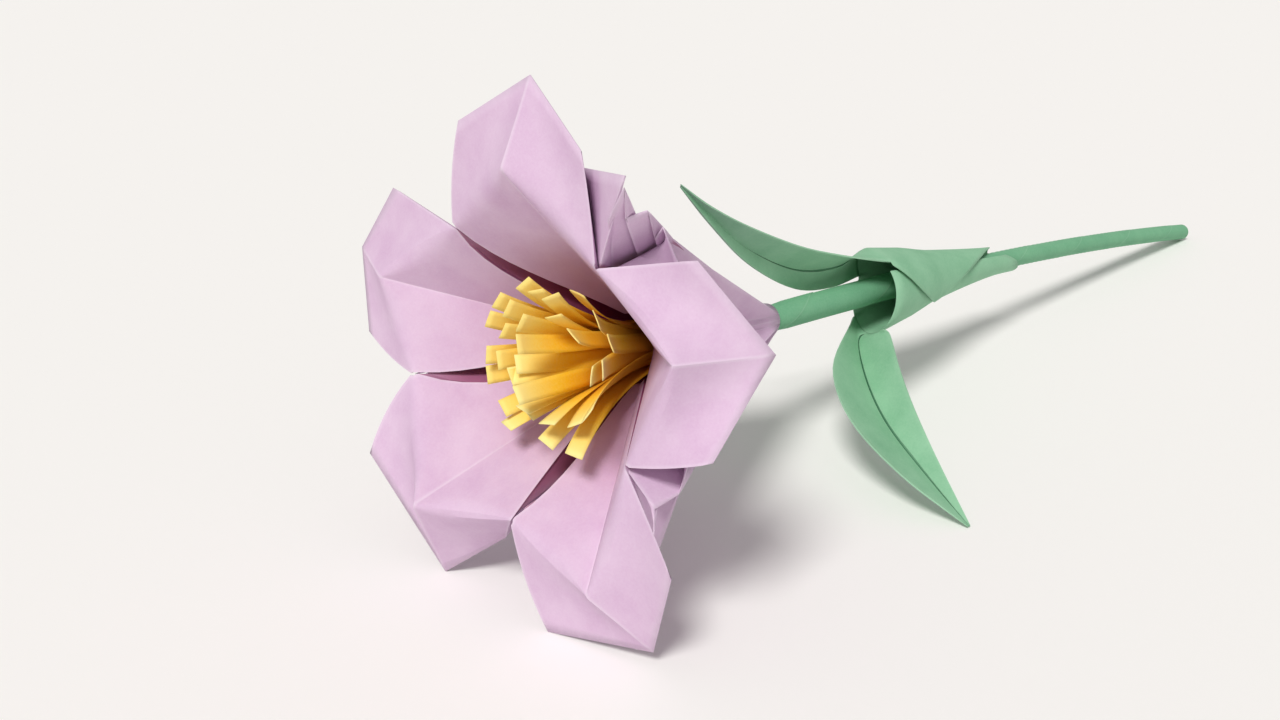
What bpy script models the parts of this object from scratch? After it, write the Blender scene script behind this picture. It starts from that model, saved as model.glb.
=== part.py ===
# Paper lily lying on its side: one folded pentagon for the head, a rolled tube for the stem,
# a cut and rolled fringe for the stamens, and one folded strip wrapped round the stem for the leaves.
# Lengths are millimetres and angles are degrees until a mesh is made, which is in metres.
# Heights in the head run along the flower's axis from the stem junction towards the open mouth.

import math

import bpy
import numpy as np

MM = 0.001

# Pose on the table
AXIS_TILT = 8.6
HEAD_ROLL = 2.5
CLEARANCE = 0.3

# Flower head: the sheet and its folds
PETALS = 5
PETAL_PAPER = 0.25
SLEEVE_HEIGHT = 44.0
KEEL_AT_SLEEVE = 7.6
RIDGE_AT_SLEEVE = 7.2
RIDGE_SPLAY = 13.0
KINK_RADIUS = 40.0
KINK_HEIGHT = 77.2
MEET_RADIUS = 30.8
MEET_HEIGHT = 73.4
MEET_GAP = 0.9
PETAL_HALF_WIDTH = 18.0
CORNER_RADIUS = 44.3
CORNER_HEIGHT = 73.4
TIP_RADIUS = 54.2
TIP_HEIGHT = 67.0
HINGE_RADIUS = 9.0
HINGE_HEIGHT = 46.0
# how far each petal's edge swells out past its corner: side towards the petal before, and after
EDGE_BULGE = ((0.5, 1.4), (0.0, 1.2), (1.6, 0.0), (1.6, 0.2), (0.6, 0.0))
# the third petal's corner next to the fourth is pushed back by the table: outwards, across and up
PUSHED_PETAL = 2
PUSHED_CORNER = (3.7, -9.6, -16.9)
FACE_BULGE = 0.9
BEND_ROUNDING = 4.0
SLEEVE_TAPER = 0.7
DEEPEN_OUT = 0.8
DEEPEN_DOWN = 0.6
CREASE_ROUNDING = 1.2
# how far each side fold bows towards the next petal below the rim, before and after each gap
RIDGE_BOW = ((1.9, 2.9), (1.2, 2.2), (-0.2, 2.0), (-0.5, 0.5), (-0.5, 0.5))
PLEATS_AT_SLEEVE = 26.0
# Paper turned in behind each side fold: how far aside it runs, and where its raw corner ends on
# the petal (outwards, across, up), for the petals before and after each gap
TUCK_ASIDE = ((0.5, 0.1, 0.0), (1.2, 0.2, 0.0), (-0.9, 0.4, -2.0))
SHORT_TUCK = (32.0, 10.0, 60.0)
LONG_TUCK = (40.0, 9.0, 66.5)
TUCKS = (
    (SHORT_TUCK, SHORT_TUCK),
    (SHORT_TUCK, SHORT_TUCK),
    (SHORT_TUCK, SHORT_TUCK),
    (LONG_TUCK, SHORT_TUCK),
    (SHORT_TUCK, LONG_TUCK),
)

# How each petal was bent by hand, from the top one anticlockwise as seen into the mouth:
# turn about the flower, lean outwards, curl of the tip, twist along the petal,
# share of extra width, extra depth of the centre crease and droop of the very tip
HAND_BENDS = (
    dict(turn=-3.5, lean=-3.0, curl=9.5, twist=0.5, widen=-0.11, deepen=-0.7, droop=-1.7),
    dict(turn=3.7, lean=8.5, curl=17.5, twist=2.5, widen=-0.11, deepen=-3.0, droop=-3.0),
    dict(turn=4.0, lean=-14.0, curl=2.5, twist=18.0, widen=0.23, deepen=2.5, droop=6.0),
    dict(turn=-1.8, lean=2.0, curl=-3.0, twist=3.0, widen=0.08, deepen=1.4, droop=-2.0),
    dict(turn=-2.4, lean=4.0, curl=-23.5, twist=-3.5, widen=-0.1, deepen=0.0, droop=1.0),
)

# The paper gathered between two petals, from each petal to the next one. Each row is one fold line:
# share of the pleats' radius and degrees off the middle at the sleeve, then how far the line lies
# outwards, across and up from the two petals' meeting point, at the rim and on the raw edge
CLOSED_PLEATS = (
    ((0.58, -5.0), (-5.0, -2.5, -17.0), (2.5, -2.8, -12.0)),
    ((0.96, -2.0), (1.5, -2.3, -17.0), (7.5, -2.3, -10.3)),
    ((0.63, 1.5), (-4.5, -1.6, -17.0), (3.0, -1.6, -12.0)),
    ((0.96, 5.0), (0.5, -0.3, -10.0), (2.0, 0.1, -1.6)),
    ((0.60, 8.0), (-5.0, -0.3, -17.0), (2.3, 0.0, -12.0)),
    ((0.55, 10.0), (-1.5, 0.15, -2.7), (4.5, 0.4, -6.0)),
)
PLEATS = (
    CLOSED_PLEATS,
    CLOSED_PLEATS,
    CLOSED_PLEATS,
    (
        ((1.00, -7.0), (0.8, -3.1, -17.5), (2.4, -3.1, -14.5)),
        ((0.70, -4.0), (-5.0, -2.8, -17.0), (-2.0, -2.8, -14.0)),
        ((0.96, -1.0), (1.0, -2.2, -17.0), (3.0, -2.2, -13.5)),
        ((0.65, 2.0), (-4.5, -1.8, -15.0), (0.0, -2.0, -10.0)),
        ((0.77, 4.5), (2.0, -1.4, -7.3), (13.5, -2.6, 4.7)),
        ((0.50, 7.0), (0.0, -0.8, -0.8), (9.3, -1.6, 0.9)),
        ((0.92, 9.5), (3.5, -0.4, -14.8), (8.6, -0.8, -5.3)),
    ),
    (
        ((1.10, -7.0), (8.2, -2.1, -11.3), (11.7, -2.1, -6.3)),
        ((0.77, -4.5), (2.7, -1.7, -12.8), (8.7, -1.9, -6.8)),
        ((0.87, -2.0), (8.7, -1.1, -10.5), (15.2, -1.1, -1.0)),
        ((0.54, 1.0), (-2.3, -0.7, -12.8), (13.2, -0.5, 2.2)),
        ((0.63, 3.5), (0.2, -0.3, -14.0), (20.2, -0.1, 6.9)),
        ((0.46, 6.0), (-0.8, 0.4, -4.8), (11.7, 0.6, 4.2)),
        ((0.54, 9.5), (1.6, -0.4, 0.0), (21.7, 0.9, 6.9)),
    ),
)

# Stem: a rolled tube, thicker behind the flower, with a slight bow
STEM_LENGTH = 228.5
STEM_INSIDE = 42.0
STEM_RADIUS = 2.6
COLLAR_RADIUS = 3.3
NECK_RADIUS = 2.95
STEM_WALL = 0.8
COLLAR_LENGTH = 52.0
NECK_LENGTH = 6.0
COLLAR_TAPER = 10.0
STEM_BOW = 3.0
STEM_SIDES = 16
COLLAR_RINGS = 4
STEM_RINGS = 12

# Stamens: a strip of yellow paper cut to a fringe and rolled round the stem's inner end
FRINGE_PAPER = 0.2
FRINGE_STRIPS = 32
STRIP_WIDTH = 3.6
STRIP_LENGTH = 27.0
FRINGE_BAND = 13.0
FRINGE_TOP = 46.5
FRINGE_PITCH = 0.55
LEAN_INNER = 6.0
LEAN_OUTER = 37.0
LEAN_WOBBLE = 3.0
LENGTH_WOBBLE = 0.07
LEAN_AT_ROOT = 0.35
STRIP_CUP = 0.25
STRIP_ROWS = 5
# how fast the lean and the length change from strip to strip, in radians
LEAN_BEAT = 2.4
LENGTH_BEAT = 1.7

# Leaves: one strip folded lengthwise and wrapped round the stem
LEAF_PAPER = 0.4
WRAP_TIGHT_END = 107.0
WRAP_FLARE = 6.0
WRAP_FLARE_LENGTH = 61.0
WRAP_LAYER_STEP = 0.9
LEAF_TIP_WIDTH = 0.8
WRAP_SLACK = 0.15
WRAP_TIGHT_LENGTH = 8.0
WRAP_CURVE = 1.3
WRAP_ROWS = 8
LEAF_STEPS = 3

# Paper colours, as the dyed sheets look in daylight
PETAL_COLOUR = (0.66, 0.47, 0.66)
STEM_COLOUR = (0.2, 0.47, 0.29)
STAMEN_COLOUR = (0.92, 0.62, 0.1)
LEAF_COLOUR = (0.26, 0.52, 0.33)
PAPER_ROUGHNESS = 0.75


def lerp(a, b, t):
    return a + (b - a) * t


def quadratic(a, b, c, t):
    return a * (1 - t) ** 2 + b * 2 * t * (1 - t) + c * t ** 2


def rotate_pair(a, b, degrees):
    angle = math.radians(degrees)
    return a * math.cos(angle) - b * math.sin(angle), a * math.sin(angle) + b * math.cos(angle)


def smooth_through(points, steps):
    # Catmull-Rom curve through the points, with the ends mirrored
    points = np.array(points, float)
    padded = np.vstack([2 * points[0] - points[1], points, 2 * points[-1] - points[-2]])
    curve = []
    for i in range(len(points) - 1):
        p0, p1, p2, p3 = padded[i:i + 4]
        for step in range(steps):
            t = step / steps
            curve.append(0.5 * (2 * p1 + (p2 - p0) * t + (2 * p0 - 5 * p1 + 4 * p2 - p3) * t ** 2
                                + (3 * p1 - p0 - 3 * p2 + p3) * t ** 3))
    curve.append(points[-1])
    return np.array(curve)


# The flower's frame on the table: up and axis are world directions, junction is the stem junction
TILT = math.radians(AXIS_TILT)
AXIS = np.array([-math.cos(TILT), 0.0, math.sin(TILT)])
UP = np.array([math.sin(TILT), 0.0, math.cos(TILT)])
SIDE = np.array([0.0, 1.0, 0.0])
JUNCTION = np.array([0.0, 0.0, STEM_RADIUS + STEM_LENGTH * math.sin(TILT)])


def on_flower(radial, tangential, height, direction):
    angle = math.radians(direction)
    out = math.cos(angle) * UP + math.sin(angle) * SIDE
    along = -math.sin(angle) * UP + math.cos(angle) * SIDE
    return JUNCTION + radial * out + tangential * along + height * AXIS


def petal_direction(index):
    return HEAD_ROLL + index * 360.0 / PETALS + HAND_BENDS[index % PETALS]["turn"]


def petal_point(index, radial, tangential, height, part):
    # part is "cup" below the bend, "kink" for its apex, "edge" or "tip" beyond it
    bend = HAND_BENDS[index % PETALS]
    if part in ("kink", "tip"):
        radial += bend["deepen"] * DEEPEN_OUT
        height -= bend["deepen"] * DEEPEN_DOWN
    if part == "tip":
        height -= bend["droop"]
    if part in ("edge", "tip"):
        dr, dh = rotate_pair(radial - KINK_RADIUS, height - KINK_HEIGHT, bend["curl"])
        radial, height = KINK_RADIUS + dr, KINK_HEIGHT + dh
    tangential *= 1 + bend["widen"]
    spine = np.array([KINK_RADIUS - HINGE_RADIUS, 0.0, KINK_HEIGHT - HINGE_HEIGHT])
    spine /= np.linalg.norm(spine)
    arm = np.array([radial - HINGE_RADIUS, tangential, height - HINGE_HEIGHT])
    twist = math.radians(bend["twist"])
    arm = (arm * math.cos(twist) + np.cross(spine, arm) * math.sin(twist)
           + spine * (spine @ arm) * (1 - math.cos(twist)))
    dr, dh = rotate_pair(arm[0], arm[2], -bend["lean"])
    return on_flower(HINGE_RADIUS + dr, arm[1], HINGE_HEIGHT + dh, petal_direction(index))


def keel_controls(index):
    # control points up the centre crease: mouth of the sleeve, the kink and the petal's tip
    direction = petal_direction(index)
    return [
        on_flower(KEEL_AT_SLEEVE - SLEEVE_TAPER, 0, SLEEVE_HEIGHT / 2, direction),
        on_flower(KEEL_AT_SLEEVE, 0, SLEEVE_HEIGHT, direction),
        petal_point(index, KINK_RADIUS, 0, KINK_HEIGHT, "kink"),
        petal_point(index, TIP_RADIUS, 0, TIP_HEIGHT, "tip"),
    ]


def meeting_point(index):
    # where petal index and the next one meet at the rim: midway between their two side folds
    half = math.pi / PETALS
    radial, tangential = MEET_RADIUS * math.cos(half), MEET_RADIUS * math.sin(half)
    here = petal_point(index, radial, tangential, MEET_HEIGHT, "cup")
    there = petal_point(index + 1, radial, -tangential, MEET_HEIGHT, "cup")
    return (here + there) / 2


def corner_push(index, hand):
    pushed = PUSHED_CORNER if index % PETALS == PUSHED_PETAL and hand > 0 else (0, 0, 0)
    return on_flower(*pushed, petal_direction(index)) - on_flower(0, 0, 0, 0)


def petal_corner(index, hand):
    corner = petal_point(index, CORNER_RADIUS, hand * PETAL_HALF_WIDTH, CORNER_HEIGHT, "edge")
    return corner + corner_push(index, hand)


def side_controls(index, hand):
    # control points up one side fold of a petal: hand is +1 towards the next petal, -1 the other way
    direction = petal_direction(index)
    gusset = index if hand > 0 else index - 1
    across = on_flower(0, 1, 0, gusset_direction(gusset)) - on_flower(0, 0, 0, 0)
    return [
        on_flower(RIDGE_AT_SLEEVE - SLEEVE_TAPER, 0, SLEEVE_HEIGHT / 2, direction + hand * RIDGE_SPLAY),
        on_flower(RIDGE_AT_SLEEVE, 0, SLEEVE_HEIGHT, direction + hand * RIDGE_SPLAY),
        meeting_point(gusset) - across * hand * MEET_GAP / 2,
        petal_corner(index, hand),
    ]


def corner_outward(index, hand):
    wider = petal_point(index, CORNER_RADIUS, hand * (PETAL_HALF_WIDTH + 1), CORNER_HEIGHT, "edge")
    return wider - petal_point(index, CORNER_RADIUS, hand * PETAL_HALF_WIDTH, CORNER_HEIGHT, "edge")


def ridge_bow(index, hand):
    # how far the side fold of a petal bows sideways between the sleeve and the rim
    gusset = index if hand > 0 else index - 1
    amount = RIDGE_BOW[gusset % PETALS][0 if hand > 0 else 1]
    return amount * (on_flower(0, 1, 0, gusset_direction(gusset)) - on_flower(0, 0, 0, 0))


def gusset_direction(index):
    turns = HAND_BENDS[index % PETALS]["turn"] + HAND_BENDS[(index + 1) % PETALS]["turn"]
    return HEAD_ROLL + (index + 0.5) * 360.0 / PETALS + turns / 2


def tuck_controls(index, hand, direction):
    # the paper turned in close behind a petal's side fold, out of sight
    tuck = []
    for point, (outwards, across, upwards) in zip(side_controls(index, hand), TUCK_ASIDE):
        tuck.append(point + on_flower(outwards, -hand * across, upwards, direction) - on_flower(0, 0, 0, 0))
    radial, across, height = TUCKS[(index if hand > 0 else index - 1) % PETALS][0 if hand > 0 else 1]
    tuck.append(petal_point(index, radial, hand * across, height, "cup") + corner_push(index, hand) / 2)
    return tuck


def pleat_controls(index):
    direction = gusset_direction(index)
    meet = meeting_point(index) - on_flower(0, 0, 0, 0)
    folds = [tuck_controls(index, 1, direction)]
    for (share, turn), rim, edge in PLEATS[index % PETALS]:
        radius = share * PLEATS_AT_SLEEVE
        folds.append([
            on_flower((NECK_RADIUS + radius) / 2, 0, SLEEVE_HEIGHT / 2, direction + turn),
            on_flower(radius, 0, SLEEVE_HEIGHT, direction + turn),
            meet + on_flower(*rim, direction),
            meet + on_flower(*edge, direction),
        ])
    folds.append(tuck_controls(index + 1, -1, direction))
    return folds


# Lines across the sheet and points along each line
HALF_SHARES = (0.0, 0.33, 0.66, 1.0)
ROWS_SLEEVE = 5
ROWS_CUP = 6
ROWS_TIP = 4
# most of a fold line that a rounded bend may take up, and what makes a bow's peak equal to its size
MOST_ROUNDED = 0.4
BOW_PEAK = 27 / 4


def fold_line(controls, base, rounding, bow, bulge=None):
    # points up one line of the sheet, from the stem to the raw edge, rounded where it bends
    low, sleeve, rim, edge = controls
    line = [quadratic(base, low, sleeve, i / ROWS_SLEEVE) for i in range(ROWS_SLEEVE)]
    before = lerp(rim, sleeve, min(MOST_ROUNDED, rounding / np.linalg.norm(sleeve - rim)))
    after = lerp(rim, edge, min(MOST_ROUNDED, rounding / np.linalg.norm(edge - rim)))
    for i in range(ROWS_CUP):
        share = i / ROWS_CUP
        line.append(lerp(sleeve, before, share) + bow * BOW_PEAK * share ** 2 * (1 - share))
    line += [quadratic(before, rim, after, i / 2) for i in range(3)]
    line += [lerp(after, edge, i / ROWS_TIP) for i in range(1, ROWS_TIP + 1)]
    line = np.array(line)
    if bulge is not None:
        first = ROWS_SLEEVE + ROWS_CUP + 1
        share = np.linspace(0, 1, ROWS_TIP + 2)
        line[first:] += (4 * share * (1 - share))[:, None] * bulge
    return line


def head_grid():
    columns = []
    for index in range(PETALS):
        keel = keel_controls(index)
        for hand in (-1, 1):
            side = side_controls(index, hand)
            outward = corner_outward(index, hand) * EDGE_BULGE[index][0 if hand < 0 else 1]
            normal = np.cross(side[2] - keel[2], keel[3] - keel[2]) * hand
            normal /= np.linalg.norm(normal)
            for share in HALF_SHARES[::-1] if hand < 0 else HALF_SHARES[1:]:
                controls = [lerp(a, b, share) for a, b in zip(keel, side)]
                rounding = lerp(CREASE_ROUNDING, BEND_ROUNDING, 4 * share * (1 - share))
                lift = normal * FACE_BULGE * 4 * share * (1 - share)
                bow = ridge_bow(index, hand) * share
                columns.append((controls, rounding, bow, outward * share ** 2 + lift))
        folds = pleat_controls(index)
        following = ridge_bow(index + 1, -1)
        bows = [ridge_bow(index, 1)] + [following * 0] * (len(folds) - 3) + [following * 0.5, following]
        for controls, bow in zip(folds, bows):
            columns.append((controls, CREASE_ROUNDING, bow, None))
    total = len(columns)
    step = 360.0 / total
    first_direction = petal_direction(0) - (len(HALF_SHARES) - 1) * step
    grid = []
    for number, (controls, rounding, bow, bulge) in enumerate(columns):
        base = on_flower(NECK_RADIUS + CLEARANCE + PETAL_PAPER, 0, 0, first_direction + number * step)
        grid.append(fold_line(controls, base, rounding, bow, bulge))
    return np.array(grid)


def stem_centre(along):
    # the stem's centre line, from its far end at STEM_LENGTH to inside the flower below zero
    share = max(0.0, along / STEM_LENGTH)
    return JUNCTION - along * AXIS + UP * STEM_BOW * 4 * share * (1 - share)


def beside_stem(along, across, above):
    return JUNCTION - along * AXIS + across * SIDE + above * UP


def stem_radius(along):
    if along <= 0:
        return NECK_RADIUS
    if along < COLLAR_LENGTH:
        return lerp(NECK_RADIUS, COLLAR_RADIUS, min(1.0, along / NECK_LENGTH))
    return lerp(COLLAR_RADIUS, STEM_RADIUS, min(1.0, (along - COLLAR_LENGTH) / COLLAR_TAPER))


def stem_grid():
    stations = [-STEM_INSIDE, -STEM_INSIDE / 2, 0]
    stations += list(np.linspace(NECK_LENGTH, COLLAR_LENGTH, COLLAR_RINGS))
    stations += list(np.linspace(COLLAR_LENGTH + COLLAR_TAPER, STEM_LENGTH, STEM_RINGS))
    loops = []
    for wall, order in ((0.0, stations), (STEM_WALL, stations[::-1])):
        for along in order:
            radius = stem_radius(along) - wall
            loop = []
            for i in range(STEM_SIDES):
                angle = 2 * math.pi * i / STEM_SIDES
                loop.append(stem_centre(along) + radius * (math.cos(angle) * UP + math.sin(angle) * SIDE))
            loops.append(loop)
    return np.array(loops)


def fringe_mesh():
    # spiral band whose upper edge carries one strip for each pair of columns
    inner = NECK_RADIUS + CLEARANCE + FRINGE_PAPER
    columns = FRINGE_STRIPS * 2 + 1
    angle = 0.0
    radius = inner
    places = []
    for number in range(columns):
        places.append((radius, angle))
        step = (STRIP_WIDTH / 2) / radius
        angle += step
        radius += FRINGE_PITCH * step / (2 * math.pi)
    band_rows = (FRINGE_TOP - FRINGE_BAND, FRINGE_TOP - FRINGE_BAND / 2, FRINGE_TOP)
    points = []
    faces = []

    def add(point):
        points.append(point)
        return len(points) - 1

    band = []
    for height in band_rows:
        band.append([add(on_flower(r, 0, height, math.degrees(a))) for r, a in places])
    for low, high in zip(band[:-1], band[1:]):
        for i in range(columns - 1):
            faces.append((low[i], low[i + 1], high[i + 1], high[i]))
    outermost = places[-1][0]
    for strip in range(FRINGE_STRIPS):
        left, middle, right = band[-1][2 * strip:2 * strip + 3]
        radius, angle = places[2 * strip + 1]
        share = (radius - inner) / (outermost - inner)
        lean = lerp(LEAN_INNER, LEAN_OUTER, share) + LEAN_WOBBLE * math.sin(strip * LEAN_BEAT)
        length = STRIP_LENGTH * (1.0 + LENGTH_WOBBLE * math.sin(strip * LENGTH_BEAT))
        below = [left, middle, right]
        for row in range(1, STRIP_ROWS + 1):
            t = row / STRIP_ROWS
            bent = math.radians(lean * lerp(LEAN_AT_ROOT, 1.0, t))
            out = radius + length * t * math.sin(bent)
            height = FRINGE_TOP + length * t * math.cos(bent)
            current = []
            for across in (-1, 0, 1):
                cup = STRIP_CUP * (1 - abs(across))
                offset = across * (STRIP_WIDTH - FRINGE_PAPER) / 2
                current.append(add(on_flower(out + cup, offset, height, math.degrees(angle))))
            for i in range(2):
                faces.append((below[i], below[i + 1], current[i + 1], current[i]))
            below = current
    return points, faces


# The leaf strip turns about the stem from its outer corner to its inner one. Each row is
# (degrees from the top towards the near side, where its right edge and its left edge lie along the stem)
WRAP_EDGES = (
    (118, 61.0, 57.5), (80, 74.0, 46.5), (39, 86.0, 36.5), (0, 95.0, 38.0), (-40, 99.0, 42.0),
    (-90, 102.0, 48.0), (-150, 105.0, 42.0), (-190, 107.0, 38.0), (-237, 107.0, 34.5),
    (-277, 105.0, 35.0), (-315, 100.0, 35.5),
)
WRAP_STEP = 12.0
# Ribs across each leaf, out from the wrap: near edge, centre crease and far edge, each as
# (along the stem, across, above); the last entry is the pointed tip
UPPER_LEAF = (
    ((21.7, -2.0, 13.0), (29.0, 3.5, 8.5), (32.7, 7.0, 2.0)),
    ((7.3, -1.0, 16.2), (14.7, 5.0, 8.8), (15.6, 5.5, 4.0)),
    ((-11.0, -1.0, 22.1), (-4.6, 4.0, 15.6), (-5.3, 3.0, 12.6)),
    ((-23.9, -1.0, 27.3), (-20.6, 1.5, 24.3), (-22.0, 0.5, 23.0)),
    (-32.8, 0.0, 31.9),
)
LOWER_LEAF = (
    ((34.3, -10.5, -5.9), (34.4, -2.0, -10.7), (35.1, 1.5, -6.6)),
    ((28.7, -18.0, -11.5), (27.0, -11.0, -17.0), (16.3, -8.0, -11.8)),
    ((24.4, -26.0, -18.1), (21.5, -21.5, -23.0), (7.9, -20.0, -19.0)),
    ((19.7, -37.0, -26.6), (17.0, -35.5, -29.0), (7.0, -35.0, -26.6)),
    (13.4, -49.5, -34.8),
)
UPPER_ROOT = (34.0, -86.0)
LOWER_ROOT = (-146.0, -230.0)


def wrap_point(angle, along):
    # on the strip where it is rolled into a cone round the stem, tight at its far end
    turns_inside = (angle - WRAP_EDGES[-1][0]) / 360.0
    opened = max(0.0, (WRAP_TIGHT_END - WRAP_TIGHT_LENGTH - along) / WRAP_FLARE_LENGTH)
    tight = stem_radius(along) + CLEARANCE + LEAF_PAPER / 2 + WRAP_SLACK
    radius = tight + WRAP_FLARE * opened ** WRAP_CURVE + WRAP_LAYER_STEP * turns_inside
    turn = math.radians(angle)
    return stem_centre(along) + radius * (math.cos(turn) * UP - math.sin(turn) * SIDE)


def leaf_mesh():
    first, last = WRAP_EDGES[0][0], WRAP_EDGES[-1][0]
    columns = int(round((first - last) / WRAP_STEP)) + 1
    angles = np.linspace(first, last, columns)
    table = np.array(WRAP_EDGES)[::-1]
    right = np.interp(angles, table[:, 0], table[:, 1])
    left = np.interp(angles, table[:, 0], table[:, 2])
    points = []
    faces = []

    def add(point):
        points.append(point)
        return len(points) - 1

    rows = []
    for row in range(WRAP_ROWS + 1):
        share = row / WRAP_ROWS
        rows.append([add(wrap_point(a, lerp(r, l, share))) for a, r, l in zip(angles, right, left)])
    for low, high in zip(rows[:-1], rows[1:]):
        for i in range(columns - 1):
            faces.append((low[i], low[i + 1], high[i + 1], high[i]))
    for ribs, (start, end) in ((UPPER_LEAF, UPPER_ROOT), (LOWER_LEAF, LOWER_ROOT)):
        chosen = [i for i in range(columns) if end - WRAP_STEP / 2 <= angles[i] <= start + WRAP_STEP / 2]
        curves = []
        for place, i in enumerate(chosen):
            across = place / (len(chosen) - 1)
            if ribs is LOWER_LEAF:
                across = 1 - across
            along_leaf = [points[rows[-2][i]], points[rows[-1][i]]]
            for rib in ribs[:-1]:
                near, crease, far = [beside_stem(*p) for p in rib]
                if across < 0.5:
                    along_leaf.append(lerp(near, crease, across * 2))
                else:
                    along_leaf.append(lerp(crease, far, across * 2 - 1))
            spread = beside_stem(*ribs[-2][2]) - beside_stem(*ribs[-2][0])
            spread /= np.linalg.norm(spread)
            along_leaf.append(beside_stem(*ribs[-1]) + spread * (across - 0.5) * LEAF_TIP_WIDTH)
            curves.append(smooth_through(along_leaf, LEAF_STEPS)[LEAF_STEPS:])
        below = [rows[-1][i] for i in chosen]
        for row in range(1, len(curves[0])):
            current = [add(curve[row]) for curve in curves]
            for i in range(len(chosen) - 1):
                faces.append((below[i], below[i + 1], current[i + 1], current[i]))
            below = current
    return points, faces


def material(name, colour, roughness):
    made = bpy.data.materials.new(name)
    made.use_nodes = True
    shader = made.node_tree.nodes["Principled BSDF"]
    shader.inputs["Base Color"].default_value = (*colour, 1.0)
    shader.inputs["Roughness"].default_value = roughness
    shader.inputs["Metallic"].default_value = 0.0
    return made


def add_object(name, points, faces, finish):
    mesh = bpy.data.meshes.new(name)
    mesh.from_pydata([tuple(float(c) * MM for c in p) for p in points], [], faces)
    mesh.materials.append(finish)
    made = bpy.data.objects.new(name, mesh)
    bpy.context.scene.collection.objects.link(made)
    return made


def thicken(made, thickness):
    solid = made.modifiers.new("paper", "SOLIDIFY")
    solid.thickness = thickness * MM
    solid.offset = 0.0
    solid.use_even_offset = False
    solid.use_rim = True
    return made


def grid_faces(columns, rows, closed):
    faces = []
    for i in range(columns if closed else columns - 1):
        after = (i + 1) % columns
        for j in range(rows - 1):
            faces.append((i * rows + j, after * rows + j, after * rows + j + 1, i * rows + j + 1))
    return faces


def ring_faces(loops, sides):
    # faces of a tube whose loops run down the outside and back up the inside
    faces = []
    for i in range(loops):
        after = (i + 1) % loops
        for j in range(sides):
            beside = (j + 1) % sides
            faces.append((i * sides + j, after * sides + j, after * sides + beside, i * sides + beside))
    return faces


for old in list(bpy.data.objects):
    bpy.data.objects.remove(old, do_unlink=True)

petal_paper = material("petal_paper", PETAL_COLOUR, PAPER_ROUGHNESS)
head = head_grid()
head_faces = grid_faces(head.shape[0], head.shape[1], True)
flower_head = thicken(add_object("flower_head", head.reshape(-1, 3), head_faces, petal_paper), PETAL_PAPER)

stem_paper = material("stem_paper", STEM_COLOUR, PAPER_ROUGHNESS)
tube = stem_grid()
stem = add_object("stem", tube.reshape(-1, 3), ring_faces(*tube.shape[:2]), stem_paper)

stamen_paper = material("stamen_paper", STAMEN_COLOUR, PAPER_ROUGHNESS)
fringe_points, fringe_faces = fringe_mesh()
stamen_fringe = thicken(add_object("stamen_fringe", fringe_points, fringe_faces, stamen_paper), FRINGE_PAPER)

leaf_paper = material("leaf_paper", LEAF_COLOUR, PAPER_ROUGHNESS)
leaf_points, leaf_faces = leaf_mesh()
leaf_pair = thicken(add_object("leaf_pair", leaf_points, leaf_faces, leaf_paper), LEAF_PAPER)

# Stand the flower on the table with the box's middle over the origin
pieces = (flower_head, stem, stamen_fringe, leaf_pair)
bpy.context.view_layer.update()
graph = bpy.context.evaluated_depsgraph_get()
corners = []
for made in pieces:
    corners += [tuple(v.co) for v in made.evaluated_get(graph).to_mesh().vertices]
low, high = np.min(corners, axis=0), np.max(corners, axis=0)
shift = (-(low[0] + high[0]) / 2, -(low[1] + high[1]) / 2, -low[2])
for made in pieces:
    for vertex in made.data.vertices:
        vertex.co = [c + s for c, s in zip(vertex.co, shift)]
    made.data.update()
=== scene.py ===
import math

import bpy
import numpy as np
from mathutils import Matrix, Vector


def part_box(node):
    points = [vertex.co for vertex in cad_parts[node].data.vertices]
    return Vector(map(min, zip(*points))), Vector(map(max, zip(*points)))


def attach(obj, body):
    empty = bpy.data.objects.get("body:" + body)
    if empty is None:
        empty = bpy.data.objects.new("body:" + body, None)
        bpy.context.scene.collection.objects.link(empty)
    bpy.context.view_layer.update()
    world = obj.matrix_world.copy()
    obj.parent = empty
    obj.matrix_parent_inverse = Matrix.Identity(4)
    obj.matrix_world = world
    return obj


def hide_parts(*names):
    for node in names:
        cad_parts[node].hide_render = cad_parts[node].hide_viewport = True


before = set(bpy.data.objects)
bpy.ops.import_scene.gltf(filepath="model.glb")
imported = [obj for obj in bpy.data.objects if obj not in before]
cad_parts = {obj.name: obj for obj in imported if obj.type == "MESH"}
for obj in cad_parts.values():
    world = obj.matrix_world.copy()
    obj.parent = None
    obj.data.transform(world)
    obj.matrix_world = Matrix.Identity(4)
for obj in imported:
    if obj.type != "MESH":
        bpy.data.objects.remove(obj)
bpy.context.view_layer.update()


# Flower head: one pentagon of lilac craft paper, folded into five petals with a sharp crease up the
# middle of each, their ends bent back by hand. The paper between the petals is gathered in thin
# pleats that run down to the stem, which passes through a small hole in the sheet's middle.
MM = 0.001
# The flower lies with its axis tipped up a little, because the stem's far end and two petals rest
# on the table. AXIS runs from the junction of stem and head to the open mouth, UP and SIDE across it.
AXIS_TILT = math.radians(8.6)
AXIS = np.array([-math.cos(AXIS_TILT), 0.0, math.sin(AXIS_TILT)])
UP = np.array([math.sin(AXIS_TILT), 0.0, math.cos(AXIS_TILT)])
SIDE = np.array([0.0, 1.0, 0.0])
STEM_REACH = 226.32
STEM_DROP = 36.74
stem_low, stem_high = [np.array(tuple(corner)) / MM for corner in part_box("stem")]
stem_middle = (stem_low[1] + stem_high[1]) / 2
JUNCTION = np.array([stem_high[0] - STEM_REACH, stem_middle, stem_low[2] + STEM_DROP])

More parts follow.
